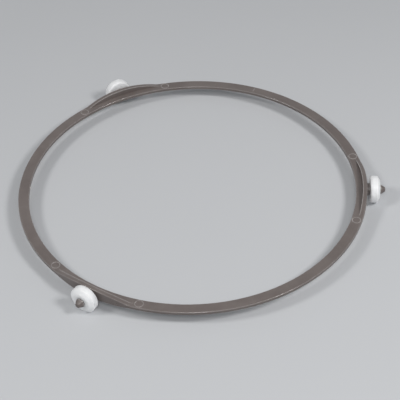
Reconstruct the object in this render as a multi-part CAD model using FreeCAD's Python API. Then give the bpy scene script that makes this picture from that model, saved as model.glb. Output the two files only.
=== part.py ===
import FreeCAD, Part
import math
import os

# Microwave roller ring: a flat moulded ring that carries three small rollers on stub axles.
# The frame has its origin on the ring's axis at floor level, +Z up, and the first roller on +X.

Vector = FreeCAD.Vector
Z_AXIS = Vector(0, 0, 1)
X_AXIS = Vector(1, 0, 0)
ORIGIN = Vector(0, 0, 0)

# Driving dimensions, millimetres

# Flat ring band
RING_OUTER_RADIUS = 93.0
BAND_WIDTH = 5.75
BAND_THICKNESS = 1.85
EDGE_ROUND = 0.35

# Upright wall that stiffens the band at each roller, arched above and below and run out into the band
WALL_THICKNESS = 2.3
WALL_RISE = 3.2
WALL_HALF_SPAN = 24.0
WALL_DROP = 1.4
WALL_DROP_HALF_SPAN = 22.5
WALL_RUNOUT_RADIUS = 12.0

# Stub axle with its shoulder boss and snap head, moulded with the ring; the boss reaches through the wall
# and stays back from the wall's inner face
AXLE_DIAMETER = 4.2
AXLE_RISE = 0.7
BOSS_DIAMETER = 6.8
BOSS_LENGTH = 1.4
BOSS_SETBACK = 0.2
BOSS_EDGE_CHAMFER = 0.25
HEAD_DIAMETER = 4.9
HEAD_LENGTH = 2.6
HEAD_LAND = 0.35
HEAD_TIP_DIAMETER = 2.4
HEAD_EDGE_ROUND = 0.8

# Rollers
ROLLER_NAMES = ("roller_right", "roller_rear", "roller_front")
ROLLER_DIAMETER = 14.4
ROLLER_WIDTH = 5.1
ROLLER_BEVEL_LENGTH = 1.35
ROLLER_BEVEL_DROP = 2.4
ROLLER_BEVEL_ROUND = 0.5
ROLLER_INNER_ROUND = 0.9
ROLLER_BORE_CHAMFER = 0.3

# Fits between roller and axle
AXLE_RUNNING_CLEARANCE = 0.08
ROLLER_END_FLOAT = 0.25

# Round ejector marks on the band's upper face, one beyond each end of every wall
MARK_EDGE_MARGIN = 0.58
MARK_WALL_GAP = 0.1
MARK_RIM_WIDTH = 0.3
MARK_RIM_HEIGHT = 0.1
MARK_DEPTH = 0.1

# Sizes that follow from the driving ones
roller_radius = ROLLER_DIAMETER / 2
axle_radius = AXLE_DIAMETER / 2
boss_radius = BOSS_DIAMETER / 2
head_radius = HEAD_DIAMETER / 2
head_tip_radius = HEAD_TIP_DIAMETER / 2
bore_radius = axle_radius + AXLE_RUNNING_CLEARANCE

axle_height = roller_radius
band_bottom = axle_height - AXLE_RISE
band_top = band_bottom + BAND_THICKNESS
band_inner_radius = RING_OUTER_RADIUS - BAND_WIDTH
band_middle_radius = RING_OUTER_RADIUS - BAND_WIDTH / 2
wall_inner_radius = RING_OUTER_RADIUS - WALL_THICKNESS
wall_half_length = max(WALL_HALF_SPAN, WALL_DROP_HALF_SPAN) + BAND_THICKNESS
wall_height = WALL_DROP + BAND_THICKNESS + WALL_RISE

boss_end = RING_OUTER_RADIUS + BOSS_LENGTH
roller_inner_face = boss_end + ROLLER_END_FLOAT
roller_outer_face = roller_inner_face + ROLLER_WIDTH
head_start = roller_outer_face + ROLLER_END_FLOAT
head_tip = head_start + HEAD_LENGTH

mark_radius = BAND_WIDTH / 2 - MARK_EDGE_MARGIN
mark_angle = math.degrees(
    math.asin(WALL_HALF_SPAN / RING_OUTER_RADIUS)
    + (MARK_WALL_GAP + mark_radius) / band_middle_radius
)

station_angles = [360.0 * index / len(ROLLER_NAMES) for index in range(len(ROLLER_NAMES))]

# Where the round faces start, half way between two stations
SEAM_ANGLE = 180.0 / len(ROLLER_NAMES)
# How near a point counts as on a face, and how steep an edge counts as upright
TOUCH = 0.001
UPRIGHT = 0.5


def revolve_outline(outline, axis_point, axis):
    """Closed outline of edges turned once round an axis into a solid."""
    face = Part.Face(Part.Wire(outline))
    return face.revolve(axis_point, axis, 360)


def polyline(points):
    """Straight edges through the points, closed back to the first one."""
    return [Part.LineSegment(a, b).toShape() for a, b in zip(points, points[1:] + points[:1])]


def arc(start, middle, end):
    """Circular edge through three points."""
    return Part.Arc(start, middle, end).toShape()


def line(start, end):
    """Straight edge between two points."""
    return Part.LineSegment(start, end).toShape()


def at_station(shape, angle):
    """Copy of a shape made on +X, turned about the ring's axis to another station."""
    placed = shape.copy()
    placed.rotate(ORIGIN, Z_AXIS, angle)
    return placed


def round_circles(solid, radius, wanted):
    """Fillet the circular edges whose (distance along X, radius) is in the wanted list."""
    edges = []
    for edge in solid.Edges:
        if edge.Curve.TypeId != "Part::GeomCircle":
            continue
        place = (edge.Curve.Center.x, edge.Curve.Radius)
        if any(math.dist(place, target) < TOUCH for target in wanted):
            edges.append(edge)
    return solid.makeFillet(radius, edges)


def make_tube(inner_radius, outer_radius, low, height):
    """Plain upright tube about the ring's axis, with its seam away from the stations."""
    foot = Vector(0, 0, low)
    tube = Part.makeCylinder(outer_radius, height, foot).cut(Part.makeCylinder(inner_radius, height, foot))
    tube.rotate(ORIGIN, Z_AXIS, SEAM_ANGLE)
    return tube


def arched_edge(level, half_span, rise):
    """Edges along y at one level, arched by rise at y = 0, with a concave run-out at both ends of the arch."""
    radius_sum = (half_span ** 2 + rise ** 2) / (2 * abs(rise))
    crest_radius = radius_sum - WALL_RUNOUT_RADIUS
    slope = math.asin(half_span / radius_sum)
    meet_y = crest_radius * math.sin(slope)
    meet_z = WALL_RUNOUT_RADIUS * (1 - math.cos(slope))
    bend_y = half_span - WALL_RUNOUT_RADIUS * math.sin(slope / 2)
    bend_z = WALL_RUNOUT_RADIUS * (1 - math.cos(slope / 2))
    half = [(wall_half_length, 0), (half_span, 0), (bend_y, bend_z), (meet_y, meet_z)]
    left = [Vector(0, -y, level + math.copysign(z, rise)) for y, z in half]
    right = [Vector(0, y, level + math.copysign(z, rise)) for y, z in half]
    return [
        line(left[0], left[1]),
        arc(left[1], left[2], left[3]),
        arc(left[3], Vector(0, 0, level + rise), right[3]),
        arc(right[3], right[2], right[1]),
        line(right[1], right[0]),
    ]


def make_wall():
    """Upright wall on +X, arched in side view, with the curve of the band's outer edge in plan."""
    top = arched_edge(band_top, WALL_HALF_SPAN, WALL_RISE)
    low = arched_edge(band_bottom, WALL_DROP_HALF_SPAN, -WALL_DROP)
    ends = [
        line(Vector(0, y, band_bottom), Vector(0, y, band_top))
        for y in (-wall_half_length, wall_half_length)
    ]
    outline = Part.Wire(Part.sortEdges(top + low + ends)[0])
    slab = Part.Face(outline).extrude(Vector(RING_OUTER_RADIUS + WALL_THICKNESS, 0, 0))
    tube_low = band_bottom - wall_height
    tube_high = band_top + wall_height
    tube = make_tube(wall_inner_radius, RING_OUTER_RADIUS, tube_low, tube_high - tube_low)
    return slab.common(tube)


def rim_edges(solid, radius):
    """Edges that run round the ring at one distance from its axis."""
    edges = []
    for edge in solid.Edges:
        middle = edge.valueAt((edge.FirstParameter + edge.LastParameter) / 2)
        on_radius = abs(math.hypot(middle.x, middle.y) - radius) < TOUCH
        upright = abs(edge.tangentAt(edge.FirstParameter).z) > UPRIGHT
        if on_radius and not upright:
            edges.append(edge)
    return edges


def make_band():
    """Flat band with its walls, and lightly rounded edges all round."""
    wall = make_wall()
    walls = [at_station(wall, angle) for angle in station_angles]
    flat = make_tube(band_inner_radius, RING_OUTER_RADIUS, band_bottom, BAND_THICKNESS)
    band = flat.fuse(walls).removeSplitter()
    rims = rim_edges(band, band_inner_radius) + rim_edges(band, RING_OUTER_RADIUS)
    return band.makeFillet(EDGE_ROUND, rims)


def make_stub_axle():
    """Boss, axle and snap head on +X, turned about the axle's axis."""
    root = wall_inner_radius + BOSS_SETBACK
    outline = [
        (root, 0),
        (root, boss_radius),
        (boss_end - BOSS_EDGE_CHAMFER, boss_radius),
        (boss_end, boss_radius - BOSS_EDGE_CHAMFER),
        (boss_end, axle_radius),
        (head_start, axle_radius),
        (head_start, head_radius),
        (head_start + HEAD_LAND, head_radius),
        (head_tip, head_tip_radius),
        (head_tip, 0),
    ]
    points = [Vector(x, 0, axle_height + r) for x, r in outline]
    solid = revolve_outline(polyline(points), Vector(0, 0, axle_height), X_AXIS)
    rounded = [(head_start + HEAD_LAND, head_radius), (head_tip, head_tip_radius)]
    return round_circles(solid, HEAD_EDGE_ROUND, rounded)


def make_mark(radius, low, high):
    """Disc on the band's middle line, on +X, between two heights."""
    return Part.makeCylinder(radius, high - low, Vector(band_middle_radius, 0, low))


def make_ring():
    """Band with its walls, stub axles and ejector marks as one moulded piece."""
    stub = make_stub_axle()
    rim = make_mark(mark_radius, band_top - MARK_DEPTH, band_top + MARK_RIM_HEIGHT)
    hollow = make_mark(
        mark_radius - MARK_RIM_WIDTH, band_top - MARK_DEPTH, band_top + BAND_THICKNESS
    )
    added = []
    hollows = []
    for angle in station_angles:
        added.append(at_station(stub, angle))
        for side in (-mark_angle, mark_angle):
            added.append(at_station(rim, angle + side))
            hollows.append(at_station(hollow, angle + side))
    return make_band().fuse(added).cut(hollows).removeSplitter()


def make_roller():
    """Roller on +X: flat tread, broad bevel on its outer side, round shoulder on its inner side."""
    outline = [
        (roller_inner_face, bore_radius + ROLLER_BORE_CHAMFER),
        (roller_inner_face, roller_radius),
        (roller_outer_face - ROLLER_BEVEL_LENGTH, roller_radius),
        (roller_outer_face, roller_radius - ROLLER_BEVEL_DROP),
        (roller_outer_face, bore_radius + ROLLER_BORE_CHAMFER),
        (roller_outer_face - ROLLER_BORE_CHAMFER, bore_radius),
        (roller_inner_face + ROLLER_BORE_CHAMFER, bore_radius),
    ]
    points = [Vector(x, 0, axle_height + r) for x, r in outline]
    solid = revolve_outline(polyline(points), Vector(0, 0, axle_height), X_AXIS)
    solid = round_circles(solid, ROLLER_INNER_ROUND, [(roller_inner_face, roller_radius)])
    bevel_edges = [
        (roller_outer_face - ROLLER_BEVEL_LENGTH, roller_radius),
        (roller_outer_face, roller_radius - ROLLER_BEVEL_DROP),
    ]
    return round_circles(solid, ROLLER_BEVEL_ROUND, bevel_edges)


os.makedirs("parts", exist_ok=True)
make_ring().exportStep("parts/support_ring.step")
roller = make_roller()
for name, angle in zip(ROLLER_NAMES, station_angles):
    at_station(roller, angle).exportStep("parts/" + name + ".step")
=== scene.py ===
import math

import bmesh
import bpy
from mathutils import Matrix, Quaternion, Vector


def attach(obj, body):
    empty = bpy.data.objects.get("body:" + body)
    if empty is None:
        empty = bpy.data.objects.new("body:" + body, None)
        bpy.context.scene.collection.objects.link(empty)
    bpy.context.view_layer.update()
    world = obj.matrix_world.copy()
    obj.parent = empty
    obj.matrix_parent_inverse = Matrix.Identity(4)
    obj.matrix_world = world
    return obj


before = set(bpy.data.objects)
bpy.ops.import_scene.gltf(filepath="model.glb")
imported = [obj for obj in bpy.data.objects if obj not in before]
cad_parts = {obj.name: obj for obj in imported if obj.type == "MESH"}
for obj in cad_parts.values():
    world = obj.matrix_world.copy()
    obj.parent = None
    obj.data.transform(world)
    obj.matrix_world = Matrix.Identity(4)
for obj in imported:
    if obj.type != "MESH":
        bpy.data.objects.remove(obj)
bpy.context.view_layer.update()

# Microwave roller ring: a satin taupe moulding with three smooth white rollers on its stub axles.

MM = 0.001

# Sizes of the moulding that the finishes and the small details follow, millimetres
AXLE_HEIGHT = 7.2
BAND_TOP = 8.35
BAND_INNER = 87.25
STATION_STEP = math.radians(120)
MARK_TURN = math.radians(16.48)
MARK_REACH = 90.125
MARK_RADIUS = 2.145
MARK_RIM_FADE = (0.30, 0.12)
WELD_TURN = math.radians(69.8)
WELD_FADE = (0.42, 0.10)
WELD_START = (88.3, 89.2)
WELD_END = (92.2, 91.4)
TREAD_START = (6.9, 7.15)

# Snapped gate on the band's inner face, millimetres
GATE_TURN = math.radians(182)
GATE_ROOT = 0.15
GATE_DROP = 0.75
GATE_DEPTH = 0.55
GATE_WIDTH = 1.3
GATE_HEIGHT = 0.85
GATE_TAPER = 0.25
GATE_RAG = 0.07
GATE_CUTS = 5

# Colours as they look under plain light, linear
TAUPE = (0.152, 0.128, 0.119, 1)
TAUPE_DEEP = (0.130, 0.108, 0.100, 1)
# Pale taupe of rubbed wear, scratches and the weld line; on the ring's edges it is also a painted highlight
TAUPE_WORN_AND_HIGHLIT = (0.500, 0.470, 0.455, 1)
DUST_GREY = (0.330, 0.320, 0.305, 1)
ROLLER_WHITE = (0.885, 0.895, 0.905, 1)
ROLLER_SHADE = (0.850, 0.865, 0.880, 1)
ROLLER_TRACK = (0.700, 0.705, 0.710, 1)
GATE_PALE = (0.520, 0.505, 0.500, 1)
FLOOR_PALE = (0.560, 0.572, 0.590, 1)
FLOOR_CLOUD = (0.530, 0.543, 0.562, 1)
SURROUND_LIGHT = (0.95, 0.97, 1.0, 1)

# Studio: the floor's half width and where it fades into the surround, metres
FLOOR_REACH = 4.0
FLOOR_FADE = (0.20, 0.55)
SURROUND_STRENGTH = 0.22
LAMP_DISTANCE = 1.0

# Each soft box: name, azimuth and elevation in degrees, width in metres, power in watts, tint
SOFT_BOXES = (
    ("left_soft_box", -70, 48, 0.22, 2.6, (1.0, 0.99, 0.97)),
    ("right_soft_box", 66, 48, 0.22, 4.0, (1.0, 0.99, 0.98)),
    ("front_soft_box", 4, 48, 0.28, 2.8, (1.0, 1.0, 1.0)),
)

# Camera at the photo's viewing angle: degrees, millimetres and metres
CAMERA_AZIMUTH = 4.3
CAMERA_ELEVATION = 42.0
CAMERA_ROLL = -2.065
CAMERA_AIM = (4.55, -9.71, 6.5)
CAMERA_DISTANCE = 0.6789
CAMERA_LENS = 115.18
CAMERA_SENSOR = 36.0


# Node helpers

class Nodes:
    """Short way to add and join nodes in one node tree."""

    def __init__(self, tree):
        self.tree = tree

    def add(self, kind, values=None, **settings):
        node = self.tree.nodes.new(kind)
        for name, value in settings.items():
            setattr(node, name, value)
        for socket, value in (values or {}).items():
            self.feed(node.inputs[socket], value)
        return node

    def feed(self, socket, value):
        if isinstance(value, bpy.types.NodeSocket):
            self.tree.links.new(value, socket)
        else:
            socket.default_value = value

    def math(self, operation, *values, clamp=False):
        node = self.tree.nodes.new("ShaderNodeMath")
        node.operation = operation
        node.use_clamp = clamp
        for socket, value in zip(node.inputs, values):
            self.feed(socket, value)
        return node.outputs[0]

    def hypotenuse(self, first, second):
        squares = self.math("ADD", self.math("POWER", first, 2.0), self.math("POWER", second, 2.0))
        return self.math("POWER", squares, 0.5)

    def polar(self, position):
        """Angle and reach about the ring's axis, and height, of a position."""
        part = self.add("ShaderNodeSeparateXYZ", {"Vector": position}).outputs
        angle = self.math("ARCTAN2", part["Y"], part["X"])
        return angle, self.hypotenuse(part["X"], part["Y"]), part["Z"]

    def off_station(self, angle):
        """Signed angle from the nearest of the three stations."""
        nearest = self.math("ROUND", self.math("DIVIDE", angle, STATION_STEP))
        return self.math("SUBTRACT", angle, self.math("MULTIPLY", nearest, STATION_STEP))

    def ramp(self, value, low, high, to_low=0.0, to_high=1.0):
        node = self.add(
            "ShaderNodeMapRange",
            {"Value": value, "From Min": low, "From Max": high, "To Min": to_low, "To Max": to_high},
            interpolation_type="SMOOTHSTEP",
        )
        return node.outputs["Result"]

    def fade(self, value, millimetres):
        """Nought to one between two distances in millimetres."""
        start, end = millimetres
        return self.ramp(value, start * MM, end * MM)

    def noise(self, vector, scale, detail=2.0, roughness=0.5):
        node = self.add(
            "ShaderNodeTexNoise",
            {"Vector": vector, "Scale": scale, "Detail": detail, "Roughness": roughness},
        )
        return node.outputs["Fac"]

    def mix(self, share, first, second):
        node = self.tree.nodes.new("ShaderNodeMix")
        node.data_type = "RGBA"
        self.feed(node.inputs["Factor"], share)
        self.feed(node.inputs[6], first)
        self.feed(node.inputs[7], second)
        return node.outputs[2]

    def group(self, tree, values=None):
        node = self.add("ShaderNodeGroup", node_tree=tree)
        for socket, value in (values or {}).items():
            self.feed(node.inputs[socket], value)
        return node.outputs


def new_group(name, inputs, outputs):
    """Empty shader node group with named sockets, and its Group Input and Group Output nodes."""
    tree = bpy.data.node_groups.new(name, "ShaderNodeTree")
    for socket, kind, value in inputs:
        made = tree.interface.new_socket(socket, in_out="INPUT", socket_type=kind)
        if value is not None:
            made.default_value = value
    for socket, kind in outputs:
        tree.interface.new_socket(socket, in_out="OUTPUT", socket_type=kind)
    n = Nodes(tree)
    return n, n.add("NodeGroupInput").outputs, n.add("NodeGroupOutput").inputs


def new_material(name):
    """Material with a Principled BSDF, its node helper and the object's own coordinates."""
    material = bpy.data.materials.new(name)
    material.use_nodes = True
    n = Nodes(material.node_tree)
    place = n.add("ShaderNodeTexCoord").outputs["Object"]
    return material, n, material.node_tree.nodes["Principled BSDF"], place


# Shared finish effects

FLOAT, VECTOR = "NodeSocketFloat", "NodeSocketVector"


def make_axle_place():
    """Where a point lies about its nearest stub axle: along it, off it, and round it."""
    n, given, out = new_group(
        "axle_place",
        [("Position", VECTOR, None)],
        [("Along", FLOAT), ("Off", FLOAT), ("Round", FLOAT)],
    )
    angle, reach, height = n.polar(given["Position"])
    aside = n.off_station(angle)
    across = n.math("MULTIPLY", reach, n.math("SINE", aside))
    rise = n.math("SUBTRACT", height, AXLE_HEIGHT * MM)
    n.feed(out["Along"], n.math("MULTIPLY", reach, n.math("COSINE", aside)))
    n.feed(out["Off"], n.hypotenuse(across, rise))
    n.feed(out["Round"], n.math("ARCTAN2", across, rise))
    return n.tree


def make_moulded_grain():
    """Fine eroded-mould grain for bump and gloss, with the slow colour drift of the melt."""
    n, given, out = new_group(
        "moulded_grain",
        [("Position", VECTOR, None), ("Grain", FLOAT, 3000.0), ("Drift", FLOAT, 60.0)],
        [("Height", FLOAT), ("Gloss", FLOAT), ("Tone", FLOAT)],
    )
    fine = n.noise(given["Position"], given["Grain"], detail=3.0, roughness=0.6)
    slow = n.noise(given["Position"], given["Drift"], detail=4.0, roughness=0.55)
    n.feed(out["Height"], fine)
    n.feed(out["Gloss"], n.math("ADD", n.math("MULTIPLY", fine, 0.35), n.math("MULTIPLY", slow, 0.65)))
    n.feed(out["Tone"], n.ramp(slow, 0.35, 0.65))
    return n.tree


def make_edge_wear_and_highlight():
    """Mask of the outward edges, broken up along their length: rubbed wear, and where a finish pales its
    colour by it, a painted highlight too.
    """
    n, given, out = new_group(
        "edge_wear_and_highlight",
        [("Position", VECTOR, None), ("Width", FLOAT, 0.0008), ("Break", FLOAT, 900.0)],
        [("Mask", FLOAT)],
    )
    within = n.add(
        "ShaderNodeAmbientOcclusion",
        {"Distance": given["Width"]},
        samples=8, inside=True, only_local=True,
    )
    edge = n.ramp(within.outputs["AO"], 0.92, 0.62)
    patchy = n.ramp(n.noise(given["Position"], given["Break"], detail=3.0), 0.30, 0.62, 0.50, 1.0)
    n.feed(out["Mask"], n.math("MULTIPLY", edge, patchy))
    return n.tree


def make_mark_place():
    """How far a point on top of the band lies from the middle of its nearest ejector mark."""
    n, given, out = new_group("mark_place", [("Position", VECTOR, None)], [("Off", FLOAT), ("Top", FLOAT)])
    angle, reach, height = n.polar(given["Position"])
    turn = n.math("SUBTRACT", n.math("ABSOLUTE", n.off_station(angle)), MARK_TURN)
    out_by = n.math("SUBTRACT", n.math("MULTIPLY", reach, n.math("COSINE", turn)), MARK_REACH * MM)
    round_by = n.math("MULTIPLY", reach, n.math("SINE", turn))
    n.feed(out["Off"], n.hypotenuse(out_by, round_by))
    n.feed(out["Top"], n.ramp(height, (BAND_TOP - 0.25) * MM, (BAND_TOP - 0.12) * MM))
    return n.tree


def make_hairlines():
    """Mask of fine handling scratches in scattered patches, stretched by the given coordinates."""
    n, given, out = new_group(
        "hairlines",
        [("Along", VECTOR, None), ("Scale", FLOAT, 300.0), ("Amount", FLOAT, 0.5)],
        [("Mask", FLOAT)],
    )
    lines = n.noise(given["Along"], given["Scale"], detail=5.0, roughness=0.7)
    thin = n.ramp(n.math("ABSOLUTE", n.math("SUBTRACT", lines, 0.5)), 0.020, 0.004)
    patch = n.ramp(n.noise(given["Along"], n.math("MULTIPLY", given["Scale"], 0.17)), 0.54, 0.68)
    n.feed(out["Mask"], n.math("MULTIPLY", n.math("MULTIPLY", thin, patch), given["Amount"]))
    return n.tree


def make_settled_dust():
    """Mask of the thin dust that settles on faces that look up."""
    n, given, out = new_group(
        "settled_dust",
        [("Position", VECTOR, None), ("Amount", FLOAT, 0.3)],
        [("Mask", FLOAT)],
    )
    normal = n.add("ShaderNodeNewGeometry").outputs["Normal"]
    upward = n.ramp(n.add("ShaderNodeSeparateXYZ", {"Vector": normal}).outputs["Z"], 0.35, 0.95)
    clouds = n.ramp(n.noise(given["Position"], 140.0, detail=5.0, roughness=0.65), 0.42, 0.75)
    specks = n.ramp(n.noise(given["Position"], 2600.0, detail=1.0), 0.60, 0.74)
    layer = n.math("ADD", n.math("MULTIPLY", clouds, 0.7), n.math("MULTIPLY", specks, 0.5), clamp=True)
    n.feed(out["Mask"], n.math("MULTIPLY", n.math("MULTIPLY", layer, upward), given["Amount"]))
    return n.tree


axle_place = make_axle_place()
moulded_grain = make_moulded_grain()
edge_wear_and_highlight = make_edge_wear_and_highlight()
mark_place = make_mark_place()
hairlines = make_hairlines()
settled_dust = make_settled_dust()


# Finishes

def ring_plastic():
    """Satin taupe moulding: fine grain, slow tone drift, pale edges that are partly rubbed wear and partly
    painted highlight, faint scratches round it.
    """
    material, n, shader, place = new_material("ring_plastic")
    grain = n.group(moulded_grain, {"Position": place, "Grain": 3200.0, "Drift": 55.0})
    edge = n.group(edge_wear_and_highlight, {"Position": place, "Width": 0.0006, "Break": 700.0})["Mask"]
    mark = n.group(mark_place, {"Position": place})
    off_rim = n.math("ABSOLUTE", n.math("SUBTRACT", mark["Off"], MARK_RADIUS * MM))
    worn = n.ramp(n.noise(place, 420.0), 0.38, 0.62, 0.06, 1.0)
    rim = n.math("MULTIPLY", n.math("MULTIPLY", n.fade(off_rim, MARK_RIM_FADE), mark["Top"]), worn)
    angle, reach, height = n.polar(place)
    swept = n.add(
        "ShaderNodeCombineXYZ",
        {"X": n.math("MULTIPLY", angle, 0.008), "Y": reach, "Z": height},
    ).outputs["Vector"]
    scratch = n.group(hairlines, {"Along": swept, "Scale": 2400.0, "Amount": 0.35})["Mask"]
    off_weld = n.math("MULTIPLY", reach, n.math("ABSOLUTE", n.math("SUBTRACT", angle, WELD_TURN)))
    weld_span = n.math("MULTIPLY", n.fade(reach, WELD_START), n.fade(reach, WELD_END))
    weld = n.math("MULTIPLY", n.fade(off_weld, WELD_FADE), weld_span)
    dust = n.group(settled_dust, {"Position": place, "Amount": 0.10})["Mask"]
    colour = n.mix(grain["Tone"], TAUPE_DEEP, TAUPE)
    colour = n.mix(n.math("MULTIPLY", weld, 0.30), colour, TAUPE_WORN_AND_HIGHLIT)
    colour = n.mix(n.math("MULTIPLY", scratch, 0.30), colour, TAUPE_WORN_AND_HIGHLIT)
    # Pale edges from the edge mask: partly rubbed wear, partly a painted highlight along the edge rounds;
    # the ejector-mark rims are pale as well
    pale = n.math("MAXIMUM", n.math("MULTIPLY", edge, 0.54), n.math("MULTIPLY", rim, 0.62))
    colour = n.mix(pale, colour, TAUPE_WORN_AND_HIGHLIT)
    colour = n.mix(dust, colour, DUST_GREY)
    n.feed(shader.inputs["Base Color"], colour)
    gloss = n.math("ADD", n.ramp(grain["Gloss"], 0.3, 0.7, 0.27, 0.37), n.math("MULTIPLY", dust, 0.5))
    n.feed(shader.inputs["Roughness"], n.math("SUBTRACT", gloss, n.math("MULTIPLY", edge, 0.08)))
    n.feed(shader.inputs["Coat Weight"], n.ramp(edge, 0.0, 0.5))
    shader.inputs["Coat Roughness"].default_value = 0.12
    shader.inputs["Coat IOR"].default_value = 1.85
    cuts = n.math("ADD", n.math("MULTIPLY", scratch, 0.6), weld)
    relief = n.math("SUBTRACT", grain["Height"], cuts)
    bump = n.add("ShaderNodeBump", {"Height": relief, "Strength": 0.25, "Distance": 0.00004})
    n.feed(shader.inputs["Normal"], bump.outputs["Normal"])
    return material


def roller_plastic():
    """Smooth white moulding: soft gloss, a faint worn track on the tread, hairlines round the axle."""
    material, n, shader, place = new_material("roller_plastic")
    grain = n.group(moulded_grain, {"Position": place, "Grain": 2200.0, "Drift": 130.0})
    about = n.group(axle_place, {"Position": place})
    edge = n.group(edge_wear_and_highlight, {"Position": place, "Width": 0.0010, "Break": 900.0})["Mask"]
    swept = n.add(
        "ShaderNodeCombineXYZ",
        {"X": about["Along"], "Y": about["Off"], "Z": n.math("MULTIPLY", about["Round"], 0.0012)},
    ).outputs["Vector"]
    scuff = n.group(hairlines, {"Along": swept, "Scale": 1600.0, "Amount": 0.5})["Mask"]
    dust = n.group(settled_dust, {"Position": place, "Amount": 0.05})["Mask"]
    tread = n.fade(about["Off"], TREAD_START)
    track = n.math("MULTIPLY", tread, n.ramp(n.noise(place, 420.0, detail=4.0), 0.35, 0.75, 0.05, 0.30))
    colour = n.mix(grain["Tone"], ROLLER_SHADE, ROLLER_WHITE)
    colour = n.mix(track, colour, ROLLER_TRACK)
    colour = n.mix(n.math("MULTIPLY", scuff, 0.12), colour, ROLLER_TRACK)
    colour = n.mix(dust, colour, DUST_GREY)
    n.feed(shader.inputs["Base Color"], colour)
    gloss = n.math("ADD", n.ramp(grain["Gloss"], 0.3, 0.7, 0.40, 0.50), n.math("MULTIPLY", scuff, 0.18))
    n.feed(shader.inputs["Roughness"], n.math("SUBTRACT", gloss, n.math("MULTIPLY", edge, 0.06)))
    relief = n.math("SUBTRACT", grain["Height"], scuff)
    bump = n.add("ShaderNodeBump", {"Height": relief, "Strength": 0.15, "Distance": 0.00003})
    n.feed(shader.inputs["Normal"], bump.outputs["Normal"])
    shader.inputs["Subsurface Weight"].default_value = 0.9
    shader.inputs["Subsurface Radius"].default_value = (1.0, 1.0, 1.0)
    shader.inputs["Subsurface Scale"].default_value = 0.0045
    return material


def gate_finish():
    """Rough pale break where the gate was snapped off the moulding."""
    material, n, shader, place = new_material("gate_break")
    grain = n.group(moulded_grain, {"Position": place, "Grain": 6000.0, "Drift": 2500.0})
    n.feed(shader.inputs["Base Color"], n.mix(grain["Tone"], TAUPE_WORN_AND_HIGHLIT, GATE_PALE))
    n.feed(shader.inputs["Roughness"], n.ramp(grain["Gloss"], 0.3, 0.7, 0.55, 0.75))
    bump = n.add("ShaderNodeBump", {"Height": grain["Height"], "Strength": 0.5, "Distance": 0.00005})
    n.feed(shader.inputs["Normal"], bump.outputs["Normal"])
    return material


def seen_ray(n):
    """One for rays that show the surround: straight, in a gloss or through glass; nought for the rest."""
    path = n.add("ShaderNodeLightPath").outputs
    mirrored = n.math("ADD", path["Is Glossy Ray"], path["Is Transmission Ray"])
    return n.math("ADD", path["Is Camera Ray"], mirrored, clamp=True)


def floor_finish():
    """Pale smooth sheet that fades into an even pale surround; clear from below, to show the underside."""
    material, n, shader, place = new_material("pale_floor")
    cloud = n.noise(place, 3.0, detail=3.0)
    n.feed(shader.inputs["Base Color"], n.mix(n.ramp(cloud, 0.3, 0.7, 0.0, 0.5), FLOOR_PALE, FLOOR_CLOUD))
    shader.inputs["Roughness"].default_value = 0.85
    even = n.add("ShaderNodeEmission")
    even.inputs["Color"].default_value = FLOOR_PALE
    away = n.add("ShaderNodeVectorMath", {0: place}, operation="LENGTH").outputs["Value"]
    share = n.math("MULTIPLY", n.ramp(away, *FLOOR_FADE), seen_ray(n))
    sheet = n.add("ShaderNodeMixShader", {0: share, 1: shader.outputs["BSDF"], 2: even.outputs["Emission"]})
    clear = n.add("ShaderNodeBsdfTransparent")
    below = n.add("ShaderNodeNewGeometry").outputs["Backfacing"]
    both = n.add("ShaderNodeMixShader", {0: below, 1: sheet.outputs["Shader"], 2: clear.outputs["BSDF"]})
    n.feed(material.node_tree.nodes["Material Output"].inputs["Surface"], both.outputs["Shader"])
    return material


def dress(node, material):
    """Give a CAD node its finish in every material slot."""
    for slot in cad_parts[node].material_slots:
        slot.material = material


def snap_off_gate():
    """Short ragged stub that the snapped gate left on the band's inner face."""
    mesh = bpy.data.meshes.new("gate_stub")
    form = bmesh.new()
    bmesh.ops.create_cube(form, size=1.0)
    bmesh.ops.subdivide_edges(form, edges=form.edges, cuts=GATE_CUTS, use_grid_fill=True)
    inward = Vector((-math.cos(GATE_TURN), -math.sin(GATE_TURN), 0))
    sideways = Vector((math.sin(GATE_TURN), -math.cos(GATE_TURN), 0))
    root = -inward * (BAND_INNER + GATE_ROOT) + Vector((0, 0, BAND_TOP - GATE_DROP))
    for corner in form.verts:
        depth, width, rise = corner.co.x + 0.5, corner.co.y, corner.co.z
        taper = 1.0 - GATE_TAPER * depth
        ragged = GATE_RAG * depth * (math.sin(19 * width + 5 * rise) + math.sin(13 * rise - 7 * width))
        point = root + inward * (GATE_DEPTH * depth + ragged) + sideways * (GATE_WIDTH * width * taper)
        corner.co = (point + Vector((0, 0, GATE_HEIGHT * rise * taper))) * MM
    bmesh.ops.recalc_face_normals(form, faces=form.faces)
    form.to_mesh(mesh)
    form.free()
    stub = bpy.data.objects.new("gate_stub", mesh)
    bpy.context.scene.collection.objects.link(stub)
    mesh.materials.append(gate_finish())
    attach(stub, "ring")


# Studio

def lay_floor():
    """Large pale sheet at the level that the rollers run on."""
    mesh = bpy.data.meshes.new("studio_floor")
    form = bmesh.new()
    bmesh.ops.create_grid(form, x_segments=8, y_segments=8, size=FLOOR_REACH)
    form.to_mesh(mesh)
    form.free()
    floor = bpy.data.objects.new("studio_floor", mesh)
    bpy.context.scene.collection.objects.link(floor)
    mesh.materials.append(floor_finish())


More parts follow.
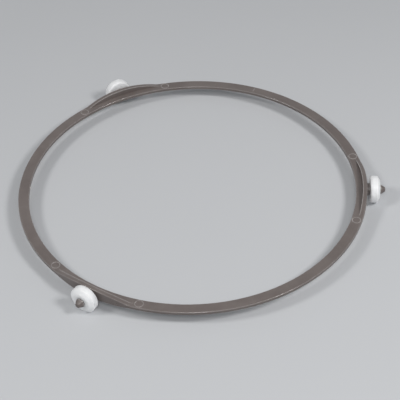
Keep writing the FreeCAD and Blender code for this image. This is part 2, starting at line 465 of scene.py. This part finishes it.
def view_back(azimuth, elevation):
    """Direction from the part towards a viewpoint in degrees; azimuth 0 is the photo's near side."""
    a, e = math.radians(azimuth), math.radians(elevation)
    return Vector((math.sin(a) * math.cos(e), -math.cos(a) * math.cos(e), math.sin(e)))


def soft_lamp(name, azimuth, elevation, size, power, tint):
    """Square soft box that looks at the part from a direction in degrees."""
    back = view_back(azimuth, elevation)
    data = bpy.data.lights.new(name, "AREA")
    data.size = size
    data.energy = power
    data.color = tint
    lamp = bpy.data.objects.new(name, data)
    lamp.location = back * LAMP_DISTANCE
    lamp.rotation_mode = "QUATERNION"
    lamp.rotation_quaternion = (-back).to_track_quat("-Z", "Y")
    bpy.context.scene.collection.objects.link(lamp)


def light_studio():
    """Even white surround with a soft box on each side and one above the camera."""
    for box in SOFT_BOXES:
        soft_lamp(*box)
    world = bpy.data.worlds.new("studio_surround")
    world.use_nodes = True
    n = Nodes(world.node_tree)
    light = world.node_tree.nodes["Background"]
    light.inputs["Color"].default_value = SURROUND_LIGHT
    light.inputs["Strength"].default_value = SURROUND_STRENGTH
    shown = n.add("ShaderNodeBackground", {"Color": FLOOR_PALE})
    both = n.add("ShaderNodeMixShader", {0: seen_ray(n), 1: light.outputs[0], 2: shown.outputs[0]})
    n.feed(world.node_tree.nodes["World Output"].inputs["Surface"], both.outputs["Shader"])
    bpy.context.scene.world = world


def place_camera():
    """Camera at the photo's viewing angle, framed for a square picture."""
    back = view_back(CAMERA_AZIMUTH, CAMERA_ELEVATION)
    data = bpy.data.cameras.new("photo_camera")
    data.sensor_width = CAMERA_SENSOR
    data.lens = CAMERA_LENS
    camera = bpy.data.objects.new("photo_camera", data)
    camera.location = Vector(CAMERA_AIM) * MM + back * CAMERA_DISTANCE
    camera.rotation_mode = "QUATERNION"
    roll = Quaternion((0, 0, 1), math.radians(CAMERA_ROLL))
    camera.rotation_quaternion = (-back).to_track_quat("-Z", "Y") @ roll
    bpy.context.scene.collection.objects.link(camera)
    bpy.context.scene.camera = camera


dress("support_ring", ring_plastic())
white = roller_plastic()
for roller in ("roller_right", "roller_rear", "roller_front"):
    dress(roller, white)
snap_off_gate()

lay_floor()
light_studio()
place_camera()
bpy.context.scene.view_settings.view_transform = "Standard"
